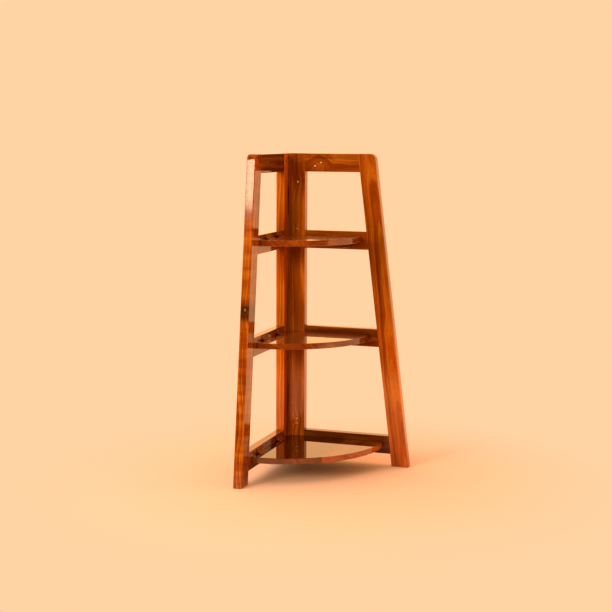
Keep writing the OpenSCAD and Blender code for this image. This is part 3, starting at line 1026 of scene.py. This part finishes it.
SOFTBOXES = (
    Softbox("key_softbox", math.radians(49), 2.5, (3.6, 3.0), 175.0, (1.0, 0.92, 0.80)),
    Softbox("low_softbox", math.radians(23.2), 1.95, (1.3, 1.3), 110.0, (1.0, 0.80, 0.52)),
    Softbox("strip_light", math.radians(23.2), 1.58, (0.18, 0.55), 9.8, (1.0, 0.80, 0.52), mirrored=True),
    Softbox("fill_softbox", math.radians(-14), 1.45, (3.4, 1.5), 90.0, (1.0, 0.62, 0.28)),
    Softbox("top_softbox", 0.0, 3.0, (3.0, 3.0), 14.0, (1.0, 0.92, 0.80), distance=0.0),
)


@dataclass
class Studio:
    """A plain pale floor, a pale backdrop behind it, soft light and the camera.

    Attributes:
        backdrop: Colour and brightness of the backdrop, as it shows.
        backdrop_light: Colour and brightness of its light on the shelf.
        room: Colour and brightness of the room behind the camera.
        turn_fade: Where the room starts to turn into the backdrop and has turned, as a share of +Y.
        floor: Colour of the floor.
        floor_radius, floor_sides: Radius of the floor and sides of its rim.
        fade_start, fade_end: Where the floor starts and ends to turn into the backdrop.
        paper_fade: Where the lit floor before the shelf starts and ends to turn into the room.
        aim_height: Height that the soft boxes face.
        camera_place, camera_turn, camera_dip, camera_roll: Where the camera stands and how it is held.
        camera_lens, camera_sensor: Its focal length and the width of its sensor, in millimetres.
    """

    backdrop: Colour = (1.15, 0.655, 0.366)
    backdrop_light: Colour = (2.30, 1.10, 0.44)
    room: Colour = (0.120, 0.040, 0.003)
    turn_fade: Pair = (-0.35, 0.25)
    floor: Colour = (0.70, 0.470, 0.350)
    floor_radius: float = 40.0
    floor_sides: int = 96
    fade_start: float = 0.06
    fade_end: float = 0.75
    paper_fade: Pair = (-0.7, -1.3)
    aim_height: float = 0.35
    camera_place: Triple = (0.90711, -2.82659, 0.80754)
    camera_turn: float = math.radians(18.695)
    camera_dip: float = math.radians(7.654)
    camera_roll: float = math.radians(0.2435)
    camera_lens: float = 75.49
    camera_sensor: float = 36.0

    def world(self) -> None:
        """Surrounds the scene with a pale backdrop behind the shelf and a dim room before it.

        A view from any side still sees the even backdrop.
        """
        world = bpy.data.worlds.new("studio")
        world.use_nodes = True
        tree = Tree(world.node_tree)
        inputs = {"Vector": tree.add("ShaderNodeTexCoord", output="Generated")}
        back = tree.add("ShaderNodeSeparateXYZ", None, inputs, "Y").fade(*self.turn_fade)
        seen = tree.add("ShaderNodeLightPath", output="Is Camera Ray")
        lit = tree.mix(back, self.room, self.backdrop_light)
        colour = tree.mix(seen, lit, self.backdrop)
        light = tree.add("ShaderNodeBackground", None, {"Color": colour, "Strength": 1.0})
        tree.finish(light, "ShaderNodeOutputWorld")
        bpy.context.scene.world = world

    def ground(self) -> bpy.types.Object:
        """Lays the floor, which turns into the backdrop far behind the shelf and into the room before it."""
        work = bmesh.new()
        bmesh.ops.create_circle(work, cap_ends=True, segments=self.floor_sides, radius=self.floor_radius)
        mesh = bpy.data.meshes.new("studio_floor")
        work.to_mesh(mesh)
        work.free()
        material, tree = Tree.of_material("studio_floor")
        place = tree.add("ShaderNodeTexCoord", output="Object")
        away = tree.add("ShaderNodeVectorMath", {"operation": "LENGTH"}, {0: place}, "Value")
        front = tree.add("ShaderNodeSeparateXYZ", None, {"Vector": place}, "Y")
        paper = tree.add("ShaderNodeBsdfDiffuse", None, {"Color": (*self.floor, 1.0)})
        seen = tree.add("ShaderNodeLightPath", output="Is Camera Ray")
        beyond = front.fade(*self.paper_fade) * (1.0 - seen)
        colour = tree.mix(seen, tree.mix(beyond, self.backdrop_light, self.room), self.backdrop)
        glow = tree.add("ShaderNodeEmission", None, {"Color": colour, "Strength": 1.0})
        share = away.fade(self.fade_start, self.fade_end).most(beyond)
        tree.finish(tree.add("ShaderNodeMixShader", None, {0: share, 1: paper, 2: glow}))
        mesh.materials.append(material)
        floor = place_object("studio_floor", mesh)
        return floor

    def lamp(self, box: Softbox) -> bpy.types.Object:
        """Hangs a soft box.

        Args:
            box: The soft box.

        Returns:
            The lamp, facing the shelf.
        """
        reach = Vector((-math.sin(box.bearing), -math.cos(box.bearing), 0.0)) * box.distance
        place = reach + UP * box.height
        data = bpy.data.lights.new(box.name, "AREA")
        data.shape = "RECTANGLE"
        data.size, data.size_y = box.size
        data.energy = box.power
        data.color = box.colour
        lamp = place_object(box.name, data)
        facing = (UP * self.aim_height - place).to_track_quat("-Z", "Y").to_matrix().to_4x4()
        lamp.matrix_world = Matrix.Translation(place) @ facing
        lamp.visible_glossy = box.mirrored
        return lamp

    def camera(self) -> bpy.types.Object:
        """Sets up the camera from which the shelf was photographed."""
        data = bpy.data.cameras.new("camera")
        data.sensor_width = self.camera_sensor
        data.lens = self.camera_lens
        camera = place_object("camera", data)
        turn = (Matrix.Rotation(self.camera_turn, 4, "Z")
                @ Matrix.Rotation(math.pi / 2 - self.camera_dip, 4, "X")
                @ Matrix.Rotation(self.camera_roll, 4, "Z"))
        camera.matrix_world = Matrix.Translation(self.camera_place) @ turn
        bpy.context.scene.camera = camera
        return camera

    def build(self) -> list[bpy.types.Object]:
        """Sets up the whole studio."""
        bpy.context.scene.view_settings.view_transform = "Standard"
        self.world()
        return [self.ground(), *(self.lamp(box) for box in SOFTBOXES), self.camera()]


LEFT_FIGURES = {
    # Painted light: face brightens the post's wide faces.
    "post": Figure(seed=3.1, pith_across=0.03, pith_depth=0.03, streaks=0.2, contrast=0.6, tone=1.2,
                   face=1.35),
    "leg": Figure(seed=7.4, pith_across=-0.02, pith_depth=0.06, tilt=0.03, curl=0.5, contrast=1.0,
                  streaks=0.6, tone=0.9, knots=(Knot(0.025, 0.001, 0.0075, edge=True),),
                  run=((0.0, 0.80), (0.2, 0.85), (0.41, 0.93), (0.49, 0.9), (0.512, 0.18),
                       (0.540, 0.22), (0.565, 0.75), (0.64, 0.85), (0.8, 1.0))),
    "top_rail": Figure(seed=11.8, pith_depth=0.02, streaks=0.9, tone=0.30),
    "upper_rail": Figure(seed=14.2, pith_depth=0.04, tone=0.6, contrast=0.5, streaks=0.25),
    "middle_rail": Figure(seed=17.9, pith_depth=0.04, tone=0.6, contrast=0.5, streaks=0.25),
    "lower_rail": Figure(seed=21.3, pith_depth=0.04, tone=0.55, contrast=0.5, streaks=0.25),
}
RIGHT_FIGURES = {
    "post": Figure(seed=25.7, pith_across=0.02, pith_depth=0.02, streaks=0.5, contrast=0.9, tone=0.82,
                   run=((0.0, 1.05), (0.45, 1.05), (0.75, 0.92), (1.0, 0.92)),
                   knots=(Knot(0.311, 0.0026), Knot(0.197, 0.001, 0.003), Knot(-0.278, 0.003, 0.0035),
                          Knot(-0.290, 0.003, 0.0035))),
    "leg": Figure(seed=29.6, pith_across=0.014, pith_depth=0.03, tilt=0.03, streaks=0.6, contrast=0.65,
                  tone=1.0, run=((0.0, 1.08), (0.21, 1.06), (0.37, 0.96), (0.53, 0.76), (0.72, 0.48),
                                 (0.83, 0.85), (0.95, 0.84))),
    "top_rail": Figure(seed=33.5, pith_across=0.01, pith_depth=0.05, streaks=0.35, contrast=1.0, tone=0.72,
                       knots=(Knot(-0.053, -0.008), Knot(-0.038, 0.0, 0.005))),
    "upper_rail": Figure(seed=38.2, pith_depth=0.04, tone=0.62, contrast=0.8, streaks=0.4),
    "middle_rail": Figure(seed=41.1, pith_depth=0.04, tone=0.48, contrast=0.8, streaks=0.4),
    "lower_rail": Figure(seed=45.9, pith_depth=0.04, tone=0.25, contrast=0.6, streaks=0.4),
}


def shelf_figures(seed: float, inner_tone: float, outer_tone: float, face: float) -> dict[str, Figure]:
    """Cuts the pieces of one shelf from the tree.

    Args:
        seed: Shifts their noise.
        inner_tone: Brightness of the inner board.
        outer_tone: Brightness of the outer board.
        face: Painted shade on the boards' tops and undersides: their brightness against their edges.

    Returns:
        The cuts of the two boards and of the rest.
    """
    return {
        "inner_board": Figure(seed=seed, pith_across=0.06, pith_depth=0.05, tone=inner_tone, face=face,
                              contrast=0.45, streaks=0.3, end=0.0),
        "outer_board": Figure(seed=seed + 3.7, pith_across=0.02, pith_depth=0.04, tone=outer_tone, face=face,
                              contrast=0.45, streaks=0.25, end=0.0),
        "rest": Figure(seed=seed + 6.1, tone=0.5),
    }


def main() -> None:
    """Builds the shelf's pieces and the studio, and reports each."""
    logging.basicConfig(level=logging.INFO, format="%(message)s")
    wood = WoodFinish()
    board_wood = WoodFinish(lacquer_roughness=0.022, lacquer_ior=1.56)
    hazy_wood = replace(board_wood, haze=0.04)
    groups = [
        LadderFrame(Side.LEFT, wood, LEFT_FIGURES),
        LadderFrame(Side.RIGHT, wood, RIGHT_FIGURES),
        # The last number of each shelf is the painted shade on the boards' tops and undersides.
        CornerShelf(Level.UPPER, hazy_wood, wood, shelf_figures(51.0, 0.72, 0.56, 0.8)),
        CornerShelf(Level.MIDDLE, hazy_wood, wood, shelf_figures(63.0, 0.57, 0.44, 0.75)),
        CornerShelf(Level.LOWER, board_wood, wood, shelf_figures(75.0, 0.34, 0.92, 0.35)),
    ]
    for group in groups:
        for piece in group.build():
            LOG.info("%s: %d faces", piece.name, len(piece.data.polygons))
    metals = Ironmongery(
        brass=MetalFinish((0.34, 0.108, 0.028), (0.15, 0.046, 0.012), 0.50),
        pin_steel=MetalFinish((0.34, 0.15, 0.07), (0.16, 0.07, 0.03), 0.40),
        screw_steel=MetalFinish((0.40, 0.19, 0.085), (0.20, 0.09, 0.035), 0.40),
    )
    for piece in metals.build(frame["nodes"]):
        LOG.info("%s: metal", piece.name)
    for thing in Studio().build():
        LOG.info("studio: %s", thing.name)


if __name__ == "__main__":
    main()
